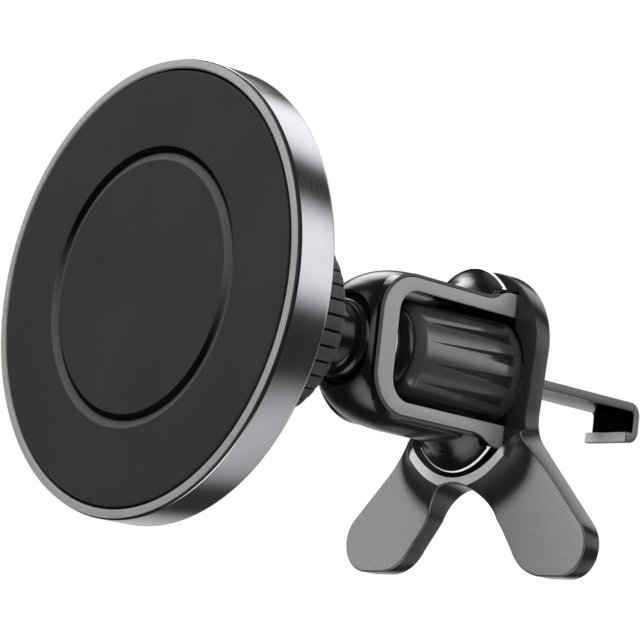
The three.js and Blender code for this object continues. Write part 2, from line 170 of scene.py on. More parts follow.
def turned(name, profile, segments=192, closed=False):
    """A solid of revolution about Y from (radius, y) pairs."""
    points, rows = [], []
    for radius, y in profile:
        if radius < POLE:
            rows.append([len(points)])
            points.append((0, y, 0))
            continue
        rows.append(range(len(points), len(points) + segments))
        for k in range(segments):
            angle = 2 * math.pi * k / segments
            points.append((radius * math.cos(angle), y, radius * math.sin(angle)))
    return make_object(name, points, skinned(rows, closed))


def bore(name, radius, front, back, segments):
    """A round bar about Y, to cut a bore with."""
    return turned(name, [(0, front), (radius, front), (radius, back), (0, back)], segments)


def skinned(rows, closed):
    """Faces between each ring of point numbers and the next, and from last to first if closed."""
    faces = []
    for a, b in zip(rows, rows[1:] + (rows[:1] if closed else [])):
        faces += bridge(a, b)
    return faces


def divided(profile, step, length):
    """The profile again, with its long stretches cut up; length measures one stretch."""
    fine = []
    for (r0, y0), (r1, y1) in zip(profile, profile[1:]):
        pieces = max(1, int(length(r1 - r0, y1 - y0) / step))
        fine += [(lerp(r0, r1, k / pieces), lerp(y0, y1, k / pieces)) for k in range(pieces)]
    return fine + [profile[-1]]


def bridge(a, b):
    """Faces between two rings of point numbers; a ring of one point is a pole."""
    count = max(len(a), len(b))
    if len(a) == 1 and len(b) == 1:
        return []
    if len(a) == 1:
        return [(a[0], b[(k + 1) % count], b[k]) for k in range(count)]
    if len(b) == 1:
        return [(a[k], a[(k + 1) % count], b[0]) for k in range(count)]
    return [(a[k], a[(k + 1) % count], b[(k + 1) % count], b[k]) for k in range(count)]


def prism(name, outline, low, high, axis):
    """A straight solid: the outline is in X and Z along axis "Y", or in Y and Z along axis "X"."""
    def place(point, depth):
        return (point[0], depth, point[1]) if axis == "Y" else (depth, point[0], point[1])

    count = len(outline)
    points = [place(p, low) for p in outline] + [place(p, high) for p in outline]
    faces = [tuple(range(count)), tuple(range(2 * count - 1, count - 1, -1))]
    faces += bridge(range(count), range(count, 2 * count))
    return make_object(name, points, faces)


def block(name, low, high):
    outline = [(low[0], low[2]), (high[0], low[2]), (high[0], high[2]), (low[0], high[2])]
    return prism(name, outline, low[1], high[1], "Y")


def grown(outline, margin):
    """The closed outline moved outwards by a margin, for an outline drawn anticlockwise."""
    moved = []
    count = len(outline)
    for i, point in enumerate(outline):
        along = Vector(outline[(i + 1) % count]) - Vector(outline[i - 1])
        along.normalize()
        moved.append((point[0] + along.y * margin, point[1] - along.x * margin))
    return moved


def finish_piece(obj, look, body, nodes):
    """Gives a piece its material and shading, and ties it to the CAD."""
    tidy_mesh(obj)
    obj.data.materials.clear()
    obj.data.materials.append(look)
    for face in obj.data.polygons:
        face.use_smooth = True
        face.material_index = 0
    obj.data.set_sharp_from_angle(angle=EDGE_ANGLE)
    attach(obj, body)
    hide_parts(*nodes)
    return obj


def paint(obj, names, choose):
    """More materials for single faces: choose(spot in mm, normal) is 0 for the piece's own."""
    for name in names:
        obj.data.materials.append(LOOKS[name])
    for face in obj.data.polygons:
        face.material_index = choose(face.center / MM, face.normal)


# ---- materials ----
class Graph:
    """Short ways to add and join shader nodes."""

    def __init__(self, tree):
        self.tree = tree

    def add(self, kind, **values):
        node = self.tree.nodes.new(kind)
        for key, value in values.items():
            setattr(node, key, value)
        return node

    def put(self, node, **values):
        """Sets a node's inputs by name, with _ for a space."""
        for key, value in values.items():
            node.inputs[key.replace("_", " ")].default_value = value

    def link(self, source, target):
        self.tree.links.new(source, target)

    def math(self, operation, first, second=None):
        node = self.add("ShaderNodeMath", operation=operation)
        for socket, value in zip(node.inputs, (first, second)):
            if value is None:
                continue
            if isinstance(value, (int, float)):
                socket.default_value = value
            else:
                self.link(value, socket)
        return node.outputs[0]

    def squares(self, x, z):
        return self.math("ADD", self.math("MULTIPLY", x, x), self.math("MULTIPLY", z, z))

    def spread(self, value, low, high, start=0.3, end=0.7, kind="LINEAR"):
        node = self.add("ShaderNodeMapRange", interpolation_type=kind)
        self.put(node, From_Min=start, From_Max=end, To_Min=low, To_Max=high)
        self.link(value, node.inputs["Value"])
        return node.outputs[0]

    def mix(self, factor, first, second):
        node = self.add("ShaderNodeMix", data_type="RGBA")
        self.link(factor, node.inputs["Factor"])
        for socket, value in ((node.inputs[6], first), (node.inputs[7], second)):
            if isinstance(value, tuple):
                socket.default_value = (*value, 1.0)
            else:
                self.link(value, socket)
        return node.outputs[2]


class Look(Graph):
    """A Principled material with helpers for procedural detail in object space."""

    def __init__(self, name, metallic=0.0, specular=0.5):
        self.material = bpy.data.materials.new(name)
        self.material.use_nodes = True
        super().__init__(self.material.node_tree)
        self.shader = self.tree.nodes["Principled BSDF"]
        self.put(self.shader, Metallic=metallic, Specular_IOR_Level=specular)
        self.place = self.add("ShaderNodeTexCoord").outputs["Object"]
        self.bump_out = None

    def stretched(self, factors):
        node = self.add("ShaderNodeMapping")
        self.put(node, Scale=factors)
        self.link(self.place, node.inputs["Vector"])
        return node.outputs[0]

    def round_place(self, along_angle, along_radius, along_axis):
        """Coordinates that run round the Y axis, for lathe marks."""
        split = self.add("ShaderNodeSeparateXYZ")
        self.link(self.place, split.inputs[0])
        x, y, z = split.outputs
        angle = self.math("ARCTAN2", z, x)
        radius = self.math("SQRT", self.squares(x, z))
        join = self.add("ShaderNodeCombineXYZ")
        self.link(self.math("MULTIPLY", angle, along_angle), join.inputs[0])
        self.link(self.math("MULTIPLY", radius, along_radius), join.inputs[1])
        self.link(self.math("MULTIPLY", y, along_axis), join.inputs[2])
        return join.outputs[0]

    def noise(self, place, scale, detail=3.0, roughness=0.5):
        node = self.add("ShaderNodeTexNoise")
        self.put(node, Scale=scale, Detail=detail, Roughness=roughness)
        self.link(place, node.inputs["Vector"])
        return node.outputs["Fac"]

    def facing(self, axis):
        """One axis of the surface's direction, in object space."""
        split = self.add("ShaderNodeSeparateXYZ")
        self.link(self.add("ShaderNodeTexCoord").outputs["Normal"], split.inputs[0])
        return split.outputs[axis]

    def worn_edges(self, low=0.53, high=0.6):
        """Near 1 on outer edges, from the mesh's own sharpness."""
        geometry = self.add("ShaderNodeNewGeometry")
        return self.spread(geometry.outputs["Pointiness"], 0.0, 1.0, low, high)

    def colour(self, socket):
        self.link(socket, self.shader.inputs["Base Color"])

    def rough(self, socket):
        self.link(socket, self.shader.inputs["Roughness"])

    def bump(self, height, strength, distance):
        node = self.add("ShaderNodeBump")
        self.put(node, Strength=strength, Distance=distance * MM)
        self.link(height, node.inputs["Height"])
        if self.bump_out is not None:
            self.link(self.bump_out, node.inputs["Normal"])
        self.bump_out = node.outputs[0]
        self.link(self.bump_out, self.shader.inputs["Normal"])


def grey(value, blue=0.0):
    return (value, value, value * (1 + blue))


def moulded(name, shade, roughness, grain_scale, grain_depth, edge_shade):
    """Moulded plastic or rubber: cloudy tone, fine grain and lighter rubbed edges."""
    look = Look(name)
    cloud = look.noise(look.place, 160.0, 4.0)
    grain = look.noise(look.place, grain_scale, 2.0, 0.6)
    tone = look.mix(look.spread(cloud, 0, 1), grey(shade * 0.82), grey(shade * 1.18))
    look.colour(look.mix(look.worn_edges(), tone, grey(edge_shade)))
    look.rough(look.spread(grain, roughness * 0.85, min(1.0, roughness * 1.15)))
    look.bump(grain, 0.35, grain_depth)
    return look.material


def glossy(name, shade, roughness, edge_shade, metallic=0.0, specular=0.5):
    """Polished plastic: very slight waviness, faint smudges and rubbed edges."""
    look = Look(name, metallic=metallic, specular=specular)
    wave = look.noise(look.place, 220.0, 1.0)
    smudge = look.noise(look.place, 420.0, 5.0, 0.65)
    tone = look.mix(look.spread(smudge, 0, 1), grey(shade * 0.93), grey(shade * 1.07, 0.03))
    look.colour(look.mix(look.worn_edges(), tone, grey(edge_shade)))
    look.rough(look.spread(smudge, roughness * 0.9, roughness * 1.15))
    look.bump(wave, 0.06, 0.02)
    return look.material


def speckled(name, shade, roughness, metallic):
    """Satin painted face with a fine metallic speckle."""
    look = Look(name, metallic=metallic)
    speck = look.noise(look.place, 9000.0, 1.0)
    cloud = look.noise(look.place, 120.0, 3.0)
    tone = look.mix(look.spread(speck, 0, 1), grey(shade * 0.8), grey(shade * 1.25, 0.02))
    look.colour(look.mix(look.spread(cloud, 0, 0.25), tone, grey(shade * 1.3)))
    look.rough(look.spread(cloud, roughness * 0.9, roughness * 1.12))
    look.bump(speck, 0.15, 0.01)
    return look.material


def satin_with_painted_slope_shade(name, satin_shade, gloss_shade, roughness):
    """Satin grey where the face looks straight forward, dark gloss on the slopes: painted shade darkens
    the slopes and a painted highlight lightens the steepest ones, by the surface's direction.
    """
    look = Look(name, metallic=0.15)
    forward = look.math("MULTIPLY", look.facing("Y"), -1.0)
    # painted shade: the colour follows the surface's direction, so the slopes turn dark
    flat = look.spread(forward, 0, 1, 0.93, 0.992, "SMOOTHSTEP")
    speck = look.noise(look.place, 9000.0, 1.0)
    cloud = look.noise(look.place, 120.0, 3.0)
    satin = look.mix(look.spread(speck, 0, 1), grey(satin_shade * 0.8), grey(satin_shade * 1.25, 0.02))
    # painted highlight: the steepest slopes are made lighter, as if lit from above
    steep_highlight = look.spread(forward, 1, 0, 0.72, 0.9, "SMOOTHSTEP")
    gloss = look.mix(steep_highlight, grey(gloss_shade), grey(gloss_shade * 7))
    look.colour(look.mix(flat, gloss, satin))
    by_slope = look.spread(flat, 0.2, roughness, 0, 1)
    look.rough(look.math("ADD", by_slope, look.spread(cloud, -0.03, 0.03)))
    look.bump(speck, 0.12, 0.01)
    return look.material


def lathed_metal(name, colour, low_rough, high_rough):
    """Anodised or plated metal with fine lathe marks round the Y axis."""
    look = Look(name, metallic=1.0)
    marks = look.noise(look.round_place(0.6, 9000.0, 9000.0), 1.0, 3.0)
    cloud = look.noise(look.place, 90.0, 3.0)
    darker = tuple(c * 0.9 for c in colour)
    lighter = tuple(min(1.0, c * 1.08) for c in colour)
    worn = tuple(min(1.0, c * 1.5) for c in colour)
    tone = look.mix(look.spread(cloud, 0, 1), darker, lighter)
    look.colour(look.mix(look.worn_edges(0.55, 0.64), tone, worn))
    look.rough(look.spread(marks, low_rough, high_rough))
    look.bump(marks, 0.12, 0.004)
    return look.material


def brushed_metal(name, colour, roughness, along, metallic):
    """Metal brushed along one axis: the small factor is the direction of the marks."""
    look = Look(name, metallic=metallic)
    marks = look.noise(look.stretched(along), 1.0, 3.0)
    cloud = look.noise(look.place, 150.0, 3.0)
    darker = tuple(c * 0.82 for c in colour)
    tone = look.mix(look.spread(cloud, 0, 1), darker, colour)
    look.colour(look.mix(look.worn_edges(), tone, tuple(min(1.0, c * 1.35) for c in colour)))
    look.rough(look.spread(marks, roughness * 0.85, roughness * 1.2))
    look.bump(marks, 0.05, 0.003)
    return look.material


def silicone(name, shade):
    """Soft matte silicone with a fine stipple and a little dust."""
    look = Look(name, specular=0.2)
    stipple = look.noise(look.place, 7000.0, 2.0)
    cloud = look.noise(look.place, 70.0, 4.0)
    dust = look.noise(look.place, 2600.0, 2.0, 0.7)
    tone = look.mix(look.spread(cloud, 0, 1), grey(shade * 0.92), grey(shade * 1.08))
    look.colour(look.mix(look.spread(dust, 0, 0.2, 0.62, 0.8), tone, grey(shade * 2.2)))
    look.rough(look.spread(stipple, 0.7, 0.86))
    look.bump(stipple, 0.25, 0.012)
    return look.material


def groove_with_painted_shade(name, low_shade, high_shade):
    """Silicone in a groove with painted shade: the walls that look down are darker than the rest."""
    look = Look(name, specular=0.2)
    # painted shade: darker where the surface faces down, lighter where it faces up
    lit_from_above = look.spread(look.facing("Z"), 0, 1, -0.3, 0.08, "SMOOTHSTEP")
    grain = look.noise(look.place, 5200.0, 2.0)
    look.colour(look.mix(lit_from_above, grey(low_shade), grey(high_shade)))
    look.rough(look.spread(grain, 0.55, 0.7))
    look.bump(grain, 0.06, 0.004)
    return look.material


BRUSHED_ALONG_Y = (9000, 40, 9000)
BRUSHED_ALONG_X = (40, 9000, 9000)
# every material, by the name that the builders or the record's material slots use
LOOKS = {
    "bezel": lathed_metal("anodised_bezel", (0.45, 0.45, 0.47), 0.12, 0.2),
    "bezel_front": speckled("bezel_satin_front", 0.24, 0.4, 0.1),
    # bezel_groove: near black, painted shade in the bezel's narrow groove
    "bezel_groove": moulded("bezel_groove_painted_shade", 0.008, 0.5, 4000.0, 0.005, 0.008),
    "pad": silicone("pad_silicone", 0.024),
    # pad_groove: painted shade on the groove's walls that look down
    "pad_groove": groove_with_painted_shade("pad_groove_painted_shade", 0.0, 0.05),
    "black_gloss": glossy("gloss_black_plastic", 0.003, 0.17, 0.006, specular=0.45),
    # flange_rim: near white, a painted highlight on the flange's rounded rim
    "flange_rim": speckled("flange_rim_painted_highlight", 0.8, 0.4, 0.0),
    "black_matte": moulded("matte_black_plastic", 0.024, 0.55, 5200.0, 0.02, 0.06),
    "grey_satin": speckled("satin_grey_panel", 0.21, 0.42, 0.2),
    "gunmetal": glossy("gloss_gunmetal_plastic", 0.12, 0.2, 0.2, metallic=0.75),
    "stand_gloss": glossy("gloss_dark_stand", 0.03, 0.16, 0.05, metallic=0.6),
    # stand_face: painted shade on the stand's slopes and a painted highlight on the steepest ones
    "stand_face": satin_with_painted_slope_shade("stand_satin_painted_slope_shade", 0.23, 0.015, 0.45),
    # stand_rim: a lighter copy of the stand's material, painted light on the skirt ring that faces the
    # light
    "stand_rim": satin_with_painted_slope_shade("skirt_painted_light", 0.55, 0.015, 0.5),
    "hook_steel": brushed_metal("dark_steel", (0.075, 0.075, 0.078), 0.3, BRUSHED_ALONG_Y, 0.5),
    "hook_polish": brushed_metal("polished_steel", (0.014, 0.014, 0.015), 0.16, BRUSHED_ALONG_Y, 1.0),
    # lip_face: light grey on the lip's end face, a painted reflection on that one face of the steel
    "lip_face": brushed_metal("lip_painted_reflection", (0.34, 0.34, 0.35), 0.5, BRUSHED_ALONG_X, 0.0),
    "screw_steel": lathed_metal("screw_steel", (0.45, 0.45, 0.46), 0.25, 0.4),
    "magnet": lathed_metal("nickel_plate", (0.6, 0.59, 0.56), 0.15, 0.3),
    "brass": lathed_metal("turned_brass", (0.72, 0.52, 0.22), 0.2, 0.35),
    "nylon": moulded("nylon", 0.6, 0.5, 4000.0, 0.01, 0.68),
    "foot_rubber": moulded("foot_rubber", 0.018, 0.8, 3600.0, 0.03, 0.03),
}


# ---- head ----
def build_bezel():
    low, high = node_box("bezel_ring")
    radius, front, back = high.x, low.y, high.y
    inner = radius - 1.3
    shoulder = front + 0.55
    groove = radius - 0.2  # a narrow groove parts the front face from the wall
    profile = rounded([
        (inner, front + 0.25, 0.1),
        (inner + 0.15, front, 0.1),
        (groove, front + 0.12, 0.04),
        (groove + 0.03, shoulder, 0.03),
        (radius - 0.06, shoulder, 0.03),
        (radius, shoulder + 0.12, 0.05),
        (radius, back - 0.25, 0.2),
        (radius - 0.25, back, 0.15),
        (radius - 2.6, back, 0.1),
        (radius - 2.6, back - 0.7, 0),
        (inner, back - 0.7, 0),
    ], closed=True)
    ring = turned("bezel", profile, 320, closed=True)
    finish_piece(ring, LOOKS["bezel"], "head", ["bezel_ring"])

    # faces in the narrow groove take the near-black material: painted shade
    def part(spot, normal):
        reach = math.hypot(spot.x, spot.z)
        if spot.y > shoulder + 0.02 or reach < inner:
            return 0
        in_groove = reach > groove - 0.01 and (spot.y > front + 0.2 or normal.y > -0.5)
        return 2 if in_groove else 1

    paint(ring, ("bezel_front", "bezel_groove"), part)


def build_pad():
    low, high = node_box("phone_pad")
    radius, front, back = high.x, low.y, high.y
    groove_start, groove_middle, groove_end = 16.0, 16.85, 17.75
    groove_floor = front + 0.62
    profile = rounded([
        (0, front, 0),
        (groove_start, front, 0.12),
        (groove_middle, groove_floor, 0.45),
        (groove_end, front, 0.12),
        (radius - 0.05, front, 0.22),
        (radius, front + 0.3, 0.1),
        (radius, back, 0.1),
        (0, back, 0),
    ], steps=8)
    pad = turned("pad", profile, 320)
    finish_piece(pad, LOOKS["pad"], "head", ["phone_pad"])

    # the groove's faces take the material with painted shade on their downward walls
    def part(spot, _normal):
        return int(groove_start < math.hypot(spot.x, spot.z) < groove_end and spot.y < front + 1)

    paint(pad, ("pad_groove",), part)


def build_back_cover():
    low, high = node_box("back_cover")
    radius, front, back = high.x, low.y, high.y
    hole = 10.9
    step = front + 0.6
    ring_groove = 21.5
    raised = radius - 1.3
    profile = rounded([
        (hole, front, 0),
        (radius, front, 0.1),
        (radius, step, 0.1),
        (raised, step, 0),
        (raised, back, 0.3),
        (ring_groove + 0.6, back, 0.15),
        (ring_groove + 0.3, back - 0.3, 0.15),
        (ring_groove - 0.3, back - 0.3, 0.15),
        (ring_groove - 0.6, back, 0.15),
        (hole + 2.4, back, 0.3),
        (hole + 1.8, back - 0.35, 0.3),
        (hole, back - 0.35, 0.1),
    ], closed=True)
    cover = turned("rear_cover", profile, 256, closed=True)
    finish_piece(cover, LOOKS["black_matte"], "head", ["back_cover"])


def build_socket():
    low, high = node_box("ball_socket")
    flange_front, end = low.y, high.y
    flange, radius, ball_room, centre = high.x, 10.6, 9.15, 16.7
    thread = []
    pitch = 1.0
    y = flange_front + 1.6
    while y < end - 1.2:
        thread += [(radius, y, 0.05), (radius, y + 0.35 * pitch, 0.1)]
        thread += [(radius - 0.4, y + 0.6 * pitch, 0.1), (radius - 0.4, y + 0.8 * pitch, 0.1)]
        y += pitch
    lip = math.degrees(math.asin((end - centre) / ball_room))
    cup = arc((0, centre), ball_room, lip, -90, 24)
    profile = rounded([(0, 6.1, 0), (7, 6.1, 0.2), (7, flange_front, 0.1), (flange, flange_front, 0.1),
                       (flange, flange_front + 1.1, 0.1), (radius, flange_front + 1.1, 0.1), *thread,
                       (radius, end, 0.3)], steps=3) + cup[:-1] + [(0, centre - ball_room)]
    socket = turned("socket", profile, 128)
    slots = []
    for turn in range(4):
        slot = block("slot", (-0.6, 13.4, 6), (0.6, end + 1, radius + 2))
        slot.data.transform(Matrix.Rotation(turn * math.pi / 2, 4, "Y"))
        slots.append(slot)
    cut(socket, *slots)
    finish_piece(socket, LOOKS["black_matte"], "head", ["ball_socket"])


def build_nut():
    """Ribbed collar: broad ribs with rounded shoulders and narrow grooves between them."""
    low, high = node_box("collar_nut")
    front, back, radius = low.y, high.y, high.x
    ribs, per_rib = 38, 20
    count = ribs * per_rib
    inside, throat, mouth = 10.8, 8.6, 10.6
    outer = rounded([
        (inside, front, 0),
        (radius - 0.9, front, 0.2),
        (radius, front + 0.9, 0.5),
        (radius, back - 0.7, 0.3),
        (radius - 0.6, back, 0.3),
        (mouth + 0.3, back, 0.2),
        (mouth, back - 0.2, 0.1),
        (throat, back - 1.8, 0.2),
        (throat, back - 2.3, 0),
        (inside, back - 2.6, 0),
    ], steps=4, closed=True)
    points, rows = [], []
    for r, y in outer:
        rows.append(range(len(points), len(points) + count))
        ribbed = smooth((r - (radius - 1.1)) / 0.5)
        for k in range(count):
            share = (k % per_rib) / per_rib
            from_middle = abs(share - 0.5) * 2
            groove = 0.75 * smooth((from_middle - 0.8) / 0.14) + 0.1 * from_middle ** 2
            reach = r - groove * ribbed
            angle = 2 * math.pi * k / count
            points.append((reach * math.cos(angle), y, reach * math.sin(angle)))
    nut = make_object("nut", points, skinned(rows, closed=True))
    finish_piece(nut, LOOKS["black_matte"], "nut", ["collar_nut"])


# ---- ball stud and housing ----
def build_stud():
    """Ball, neck and the turned steps at its foot."""
    low, high = node_box("ball_stud")
    ball = high.x
    centre, foot = low.y + ball, high.y
    neck, plug = 4.2, 4.6
    top = math.degrees(math.acos(neck / ball))
    globe = arc((0, centre), ball, -90, top, 40)
    steps = rounded([
        (neck, centre + ball * math.sin(math.radians(top)), 0),
        (neck, 32.9, 0.4),
        (neck + 0.9, 33.1, 0.35),
        (neck + 1.2, 33.7, 0.35),
        (neck + 1.2, 34.4, 0.3),
        (plug, 34.7, 0),
        (plug, foot, 0.2),
        (0, foot, 0),
    ])
    stud = turned("ball_and_neck", [(0, low.y)] + globe[1:] + steps[1:], 160)
    finish_piece(stud, LOOKS["black_gloss"], "grip", ["ball_stud"])


def panel_outline(margin=0.0, end=None, corner=PANEL_CORNER):
    """Outer edge of the side panel in (y, z), anticlockwise from its upper rear corner."""
    low, high = node_box("side_panel_right")
    front, rear, half, tail = low.y, high.y, 9.2, high.z
    upper = arc((front + corner, half - corner), corner, 180, 90, 16)
    swell = rounded([(52.6, half, 0), (55.8, half, 1.8), (57.9, tail, 1.4), (rear, tail, 0)], steps=10)
    top = upper + swell
    bottom = [(y, -z) for y, z in reversed(top)]
    outline = list(reversed(top)) + list(reversed(bottom))
    if margin:
        outline = grown(outline, margin)
    return ended(outline, rear if end is None else end)


def ended(outline, last):
    """The part of an outline in (y, z) in front of y = last; it starts and ends behind it."""
    kept = [point for point in outline if point[0] < last - 1e-6]
    first = outline.index(kept[0])
    final = outline.index(kept[-1])
    crossings = []
    beyond = outline[(final + 1) % len(outline)]
    for inside, outside in ((outline[first], outline[first - 1]), (outline[final], beyond)):
        share = (last - inside[0]) / (outside[0] - inside[0])
        crossings.append((last, lerp(inside[1], outside[1], share)))
    return [crossings[0]] + kept + [crossings[1]]


def window_outline(rear):
    low, _ = node_box("side_panel_right")
    front, half, corner = low.y + 2.8, 7.5, 3.2
    upper = arc((front + corner, half - corner), corner, 90, 180, 10)
    lower = [(y, -z) for y, z in reversed(upper)]
    return [(rear, half)] + upper + lower + [(rear, -half)]


FLANGE = {"start": 51.7, "rim": 57.0, "back": 57.2, "radius": 14.25, "half_width": 10.2}
FLAT = 5.5  # half width across the housing's flat sides


def turned_and_flattened(name, profile, limit, power, stretch=1.0):
    """A solid of revolution, stretched along X, then flattened where |x| nears the limit."""
    count = 360
    points, rows = [], []
    for radius, y in divided(profile, FINE_STEP, math.hypot):
        if radius < POLE:
            rows.append([len(points)])
            points.append((0, y, 0))
            continue
        rows.append(range(len(points), len(points) + count))
        for k in range(count):
            angle = 2 * math.pi * k / count
            c, s = math.cos(angle), math.sin(angle)
            round_reach = radius / math.hypot(c / stretch, s)
            reach = (round_reach ** -power + (abs(c) / limit) ** power) ** (-1 / power)
            points.append((reach * c, y, reach * s))
    return make_object(name, points, skinned(rows, closed=False))


def housing_skin():
    """The outer body: domed in front and flattened at the sides."""
    _, high = node_box("housing")
    rear, half = high.y, 10.8
    profile = rounded([
        (0, 35.0, 0),
        (5.85, 35.0, 0.1),
        (5.95, 34.5, 0.3),
        (6.4, 34.05, 0.3),
        (7.4, 34.9, 0.6),
        (8.9, 36.6, 1.2),
        (10.2, 39.2, 1.8),
        (half, 42.7, 2.4),
        (half, 56.0, 0),
        (12.2, 56.1, 0),
        (12.2, rear, 0.2),
        (0, rear, 0),
    ], steps=7)
    return turned_and_flattened("housing_shell", profile, FLAT, 9)


def screw_bores(profile, segments):
    """The two bores for the stand's screws."""
    bores = []
    for side in (-1, 1):
        hole = turned("screw_bore", profile, segments)
        hole.data.transform(Matrix.Translation((0, 0, side * SCREW_HEIGHT * MM)))
        bores.append(hole)
    return bores


def rear_flange():
    """The oval flange; beside the panels it is no wider than the housing's flats."""
    oval, back = FLANGE["radius"], FLANGE["back"]
    profile = rounded([
        (0, FLANGE["start"], 0),
        (10.5, FLANGE["start"], 0.1),
        (11.1, 53.4, 1.4),
        (12.2, 55.4, 1.0),
        (13.5, 56.5, 0.5),
        (oval - 0.05, FLANGE["rim"] - 0.08, 0.12),
        (oval, FLANGE["rim"] + 0.05, 0.04),
        (oval, back, 0),
        (12.0, back + 0.02, 0),
        (0, back + 0.02, 0),
    ], steps=7)
    side_limit, panel_reach = 8.0, 10.8
    flange = turned_and_flattened("flange", profile, side_limit, 24, FLANGE["half_width"] / oval)
    reliefs = [block("relief", (low, 40, -panel_reach), (high, 60, panel_reach))
               for low, high in ((FLAT, 20), (-20, -FLAT))]
    return cut(flange, *reliefs)


def build_housing():
    rear = node_box("housing")[1].y
    body = weld(housing_skin(), rear_flange())
    land_height = FLAT + 0.33
    for side, corner in ((1, PANEL_CORNER), (-1, FAR_CORNER)):
        ends = sorted((0, side * land_height))
        land = prism("land", panel_outline(0.5, FLANGE["rim"] - 0.1, corner), *ends, "X")
        bevel(land, 0.2, 4)
        weld(body, land)
    _, stud_high = node_box("ball_stud")
    collar_low, _ = node_box("wheel_collar")
    panel_low, _ = node_box("side_panel_right")
    cavity_front = 38.6
    tools = [
        prism("window", window_outline(rear + 2), -9, 9, "X"),
        prism("panel_seat_right", panel_outline(0.12), panel_low.x - 0.03, 9, "X"),
        prism("panel_seat_left", panel_outline(0.12, corner=FAR_CORNER), -9, 0.03 - panel_low.x, "X"),
        bore("cavity", 8.4, cavity_front, rear + 2, 96),
        bore("stud_bore", 4.75, 34, stud_high.y + 0.3, 64),
        bore("bearing", 3.1, collar_low.y - 0.4, cavity_front + 1, 48),
    ]
    tip = 54.4
    tools += screw_bores([(0, tip), (1.1, tip), (1.1, rear + 1), (0, rear + 1)], 24)
    cut(body, *tools)
    finish_piece(body, LOOKS["black_gloss"], "grip", ["housing"])

    # a thin band round the flange's rim takes the near-white material: a painted highlight
    def part(spot, _normal):
        reach = math.hypot(spot.x * FLANGE["radius"] / FLANGE["half_width"], spot.z)
        on_band = FLANGE["rim"] - 0.3 < spot.y < FLANGE["back"] - 0.01
        return int(on_band and reach > FLANGE["radius"] - 0.25)

    paint(body, ("flange_rim",), part)


def build_side_panels():
    for name, corner in (("right", PANEL_CORNER), ("left", FAR_CORNER)):
        node = f"side_panel_{name}"
        low, high = node_box(node)
        outline = panel_outline(0.0, high.y - 0.01, corner)
        panel = prism(f"panel_{name}", outline, low.x, high.x, "X")
        cut(panel, prism("opening", window_outline(high.y + 2), low.x - 1, high.x + 1, "X"))
        bevel(panel, 0.09, 3)
        finish_piece(panel, LOOKS["grey_satin"], "grip", [node])


# ---- thumb wheel ----
GROOVE_COUNT = 16
FIRST_GROOVE = -13.7  # the middle of one groove, in degrees from +X towards +Z


def across_groove(half, wall):
    """Places across one groove's share of the rim, each with 1 at the groove's floor or 0."""
    rib = [(lerp(-0.5, -half, k / 5), 0) for k in range(5)]
    floor = [(lerp(wall - half, half - wall, k / 4), 1) for k in range(5)]
    return rib + [(-half, 0)] + floor + [(half, 0)] + [(-place, 0) for place, _ in reversed(rib[1:])]


def build_wheel():
    """A barrel with pointed grooves that widen and deepen towards its rear rim."""
    low, high = node_box("thumb_wheel")
    front, back, rim = low.y, high.y, high.x
    nose = rim - 0.8
    start, end = front + 2.2, back - 1.9
    profile = rounded([
        (5.0, front, 0),
        (nose - 0.9, front, 0.3),
        (nose, front + 1.0, 0.9),
        (lerp(nose, rim, 0.06), start, 0),
        (rim - 0.16, end, 0),
        (rim - 0.14, end + 0.06, 0),
        (rim - 0.1, back - 0.95, 0.2),
        (rim, back - 0.7, 0.15),
        (rim, back - 0.4, 0.2),
        (rim - 0.5, back, 0.2),
        (5.0, back, 0),
    ], steps=8)
    pitch = 2 * math.pi / GROOVE_COUNT
    points, rows = [], []
    for radius, y in divided(profile, FINE_STEP, lambda across, height: abs(height)):
        along = min(1.0, max(0.0, (y - start) / (end - start)))
        in_groove = radius > nose - 0.2 and start <= y <= end + 0.01
        stations = across_groove(0.012 + 0.27 * along, 0.008 + 0.06 * along)
        depth = 0.05 + 1.0 * along ** 0.8 if in_groove else 0.0
        rows.append(range(len(points), len(points) + GROOVE_COUNT * len(stations)))
        for groove in range(GROOVE_COUNT):
            middle = math.radians(FIRST_GROOVE) + groove * pitch
            for place, is_floor in stations:
                angle = middle + place * pitch
                reach = radius - depth * is_floor
                points.append((reach * math.cos(angle), y, reach * math.sin(angle)))
    wheel = make_object("wheel", points, skinned(rows, closed=True))
    finish_piece(wheel, LOOKS["gunmetal"], "wheel", ["thumb_wheel"])


def build_collar():
    low, high = node_box("wheel_collar")
    journal_front, back, radius = low.y, high.y, high.x
    front = back - 2.3
    half = (back - front) / 2
    belly = arc((radius - half, front + half), half, -90, 90, 16)
    pocket = 4.25
    profile = [(0, journal_front), (2.7, journal_front), (2.9, journal_front + 0.2), (2.9, front)]
    profile += belly + [(pocket, back), (pocket, front + 0.7), (0, front + 0.7)]
    collar = turned("collar", profile, 128)
    finish_piece(collar, LOOKS["black_gloss"], "wheel", ["wheel_collar"])


# ---- stand ----
CROWN = (0.0, 3.7, 10.5)
WAIST = (9.7, -8.2)
TOE = (18.6, -23.5, 4.3)
HEEL = (15.5, -21.0, 6.8)
ARCH = (0.0, -22.7, 7.0)


def stand_outline():
    """The stand's outline in (x, z), anticlockwise, from arcs and the lines that join them."""
    reach = math.hypot(TOE[0] - WAIST[0], TOE[1] - WAIST[1])
    outer = math.degrees(math.atan2(TOE[1] - WAIST[1], TOE[0] - WAIST[0]) + math.asin(TOE[2] / reach)) + 90
    crown = arc(CROWN[:2], CROWN[2], 90, -6, 30)
    knee = arc(TOE[:2], TOE[2], outer, -90, 22)
    waist = rounded([(*crown[-1], 0), (*WAIST, 2.6), (*knee[0], 0)], steps=10)
    heel = arc(HEEL[:2], HEEL[2], -90, -150, 18)
    top = arc(ARCH[:2], ARCH[2], 20, 90, 18)
    right = crown[:-1] + waist[:-1] + knee + heel + top
    left = [(-x, z) for x, z in reversed(right)]
    loop = right + left[1:-1]
    return list(reversed(even_spacing(loop, 0.45)))


